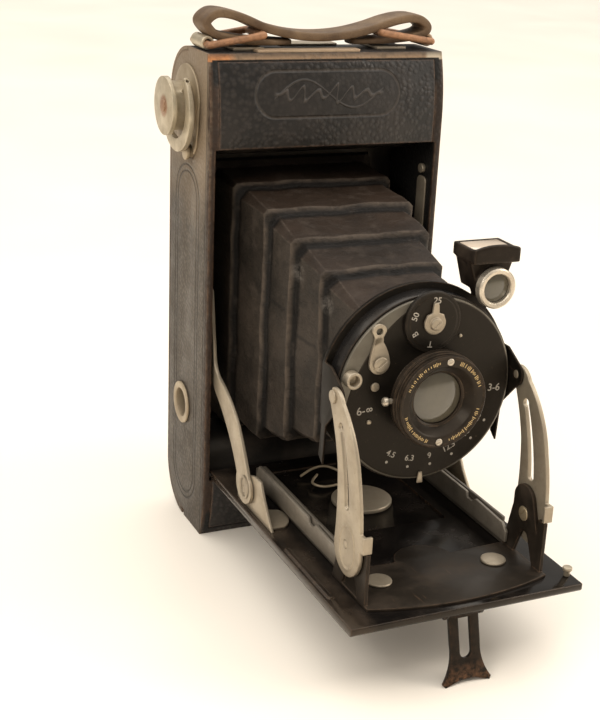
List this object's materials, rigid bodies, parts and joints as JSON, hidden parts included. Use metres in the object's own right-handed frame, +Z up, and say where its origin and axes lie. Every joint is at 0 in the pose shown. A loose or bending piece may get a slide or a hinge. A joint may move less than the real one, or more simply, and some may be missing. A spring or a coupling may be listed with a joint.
{
  "type": "folding roll-film camera",
  "caption": "Self-erecting folding camera with a drop bed, bellows, strut-borne lens standard, between-lens shutter, tilting finder, winding key and hinged back.",
  "frame": {"origin": "middle of the case's footprint, on the flat end it stands on", "axes": "+Z up the case, -Y the way the lens looks, +X to the right of somebody facing the lens"},
  "size_m": [0.0864, 0.1424, 0.168],
  "materials": {
    "shell_leather": "embossed, worn grey-brown",
    "front_leather": "black grained leather",
    "strap_leather": "worn brown leather",
    "black_lacquer": "gloss black lacquer, rubbed",
    "aged_nickel": "dull warm nickel",
    "tan_brass": "tarnished brass",
    "rusty_wire": "rusted steel",
    "clear_glass": "coated",
    "ruby_glass": "deep red"
  },
  "bodies": {
    "case": {"front_shell": "shell_leather", "upper_front_panel": "front_leather", "lower_front_panel": "front_leather", "inner_frame": "black_lacquer", "spool_pins": "aged_nickel", "key_plate": "tan_brass", "side_tripod_bush": "tan_brass", "top_latch_plate": "tan_brass", "strap_lugs": "tan_brass", "strap_loops": "rusty_wire", "strap": "strap_leather", "bed_hinge_pin": "aged_nickel", "brace_tracks": "black_lacquer", "back_hinge_pin": "aged_nickel", "bellows": "front_leather"},
    "back_door": {"back_cover": "shell_leather", "pressure_plate": "black_lacquer", "pressure_springs": "aged_nickel", "red_window": "ruby_glass"},
    "back_latch": {"back_latch": "aged_nickel"},
    "bed_button": {"bed_button": "tan_brass"},
    "key": {"key_shaft": "aged_nickel", "key_disc": "aged_nickel"},
    "key_wing": {"key_wing": "aged_nickel"},
    "take_up_spool": {"take_up_spool": "black_lacquer"},
    "supply_spool": {"supply_spool": "black_lacquer"},
    "roller_top": {"film_roller_top": "black_lacquer"},
    "roller_low": {"film_roller_low": "black_lacquer"},
    "bed": {"bed_plate": "black_lacquer", "bed_tripod_bush": "aged_nickel", "bed_rails": "black_lacquer", "strut_base": "black_lacquer", "bed_rivets": "aged_nickel", "bed_pivots": "aged_nickel", "brace_brackets": "aged_nickel", "leg_pin": "aged_nickel"},
    "leg": {"support_leg": "rusty_wire"},
    "brace_left": {"brace_left": "aged_nickel"},
    "brace_right": {"brace_right": "aged_nickel"},
    "link_left": {"link_left": "aged_nickel"},
    "link_right": {"link_right": "aged_nickel"},
    "strut_left": {"strut_left": "aged_nickel"},
    "strut_right": {"strut_right": "aged_nickel"},
    "standard": {"lens_board": "black_lacquer", "strut_head_screws": "aged_nickel", "shutter_case": "black_lacquer", "shutter_front_plate": "black_lacquer", "shutter_blades": "aged_nickel", "rear_lens": "clear_glass", "cable_socket": "aged_nickel", "speed_dial": "black_lacquer", "face_screws": "aged_nickel"},
    "speed_pointer": {"speed_pointer": "aged_nickel"},
    "release_lever": {"release_lever": "aged_nickel"},
    "aperture_lever": {"aperture_lever": "aged_nickel"},
    "focus_ring": {"focus_ring": "black_lacquer", "front_lens": "clear_glass"},
    "finder": {"finder_body": "black_lacquer", "finder_front_lens": "clear_glass", "finder_top_lens": "clear_glass"}
  },
  "joints": [
    {"name": "bed_fold", "type": "hinge", "parent": "case", "child": "bed", "pos_m": [0, -0.01675, 0.02225], "axis": [-1, 0, 0], "range_deg": [0, 90], "deforming": ["bellows"]},
    {"name": "strut_left_fold", "type": "hinge", "parent": "bed", "child": "strut_left", "pos_m": [-0.0292, -0.1025, 0.038], "axis": [-1, 0, 0], "range_deg": [0, 76.29]},
    {"name": "strut_right_fold", "type": "hinge", "parent": "bed", "child": "strut_right", "pos_m": [0.0292, -0.1025, 0.038], "axis": [-1, 0, 0], "range_deg": [0, 76.29]},
    {"name": "standard_upright", "type": "hinge", "parent": "strut_left", "child": "standard", "pos_m": [-0.0292, -0.0905, 0.0765], "axis": [-1, 0, 0], "range_deg": [-166.29, 0]},
    {"name": "brace_left_fold", "type": "hinge", "parent": "bed", "child": "brace_left", "pos_m": [-0.0355, -0.0445, 0.0295], "axis": [1, 0, 0], "range_deg": [0, 124]},
    {"name": "brace_right_fold", "type": "hinge", "parent": "bed", "child": "brace_right", "pos_m": [0.0355, -0.0445, 0.0295], "axis": [1, 0, 0], "range_deg": [0, 124]},
    {"name": "link_left_slide", "type": "slide", "parent": "bed", "child": "link_left", "axis": [0, -1, 0], "range_m": [0, 0.0113]},
    {"name": "link_right_slide", "type": "slide", "parent": "bed", "child": "link_right", "axis": [0, -1, 0], "range_m": [0, 0.0113]},
    {"name": "leg_fold", "type": "hinge", "parent": "bed", "child": "leg", "pos_m": [0, -0.1176, 0.0196], "axis": [1, 0, 0], "range_deg": [0, 104]},
    {"name": "speed_set", "type": "hinge", "parent": "standard", "child": "speed_pointer", "pos_m": [0, -0.09, 0.0943], "axis": [0, -1, 0], "range_deg": [-140, 60]},
    {"name": "release_press", "type": "hinge", "parent": "standard", "child": "release_lever", "pos_m": [-0.0156, -0.0886, 0.0838], "axis": [0, 1, 0], "range_deg": [0, 22], "stiffness_Nm_per_rad": 0.002},
    {"name": "aperture_set", "type": "hinge", "parent": "standard", "child": "aperture_lever", "pos_m": [0, -0.0885, 0.074], "axis": [0, -1, 0], "range_deg": [-24, 24]},
    {"name": "focus_turn", "type": "hinge", "parent": "standard", "child": "focus_ring", "pos_m": [0, -0.094, 0.074], "axis": [0, -1, 0], "range_deg": [0, 165]},
    {"name": "finder_swivel", "type": "hinge", "parent": "standard", "child": "finder", "pos_m": [0.0195, -0.08, 0.0965], "axis": [0, -1, 0], "range_deg": [-90, 0]},
    {"name": "back_open", "type": "hinge", "parent": "case", "child": "back_door", "pos_m": [0, 0.0022, 0.0009], "axis": [-1, 0, 0], "range_deg": [0, 95]},
    {"name": "back_latch_slide", "type": "slide", "parent": "back_door", "child": "back_latch", "axis": [0, 1, 0], "range_m": [0, 0.003]},
    {"name": "bed_button_press", "type": "slide", "parent": "case", "child": "bed_button", "axis": [1, 0, 0], "range_m": [0, 0.0012], "stiffness_N_per_m": 300},
    {"name": "key_turn", "type": "hinge", "parent": "case", "child": "key", "pos_m": [-0.04, 0.0015, 0.1385], "axis": [1, 0, 0], "continuous": true},
    {"name": "key_wing_fold", "type": "hinge", "parent": "key", "child": "key_wing", "pos_m": [-0.04265, 0.0015, 0.1385], "axis": [0, 0.7314, -0.682], "range_deg": [0, 100]},
    {"name": "take_up_turn", "type": "hinge", "parent": "case", "child": "take_up_spool", "pos_m": [0, 0.0015, 0.1385], "axis": [1, 0, 0], "continuous": true},
    {"name": "supply_turn", "type": "hinge", "parent": "case", "child": "supply_spool", "pos_m": [0, 0.0015, 0.0175], "axis": [1, 0, 0], "continuous": true},
    {"name": "roller_top_turn", "type": "hinge", "parent": "case", "child": "roller_top", "pos_m": [0, 0.01465, 0.1246], "axis": [1, 0, 0], "continuous": true},
    {"name": "roller_low_turn", "type": "hinge", "parent": "case", "child": "roller_low", "pos_m": [0, 0.01465, 0.0286], "axis": [1, 0, 0], "continuous": true}
  ],
  "couplings": [
    {"joint": "strut_left_fold", "follows": "bed_fold", "ratio": 0.84767},
    {"joint": "strut_right_fold", "follows": "bed_fold", "ratio": 0.84767},
    {"joint": "standard_upright", "follows": "bed_fold", "ratio": -1.8477},
    {"joint": "brace_left_fold", "follows": "bed_fold", "ratio": 1.3778},
    {"joint": "brace_right_fold", "follows": "bed_fold", "ratio": 1.3778},
    {"joint": "link_left_slide", "follows": "bed_fold", "m_per_rad": 0.0071938},
    {"joint": "link_right_slide", "follows": "bed_fold", "m_per_rad": 0.0071938},
    {"joint": "take_up_turn", "follows": "key_turn", "ratio": 1}
  ]
}
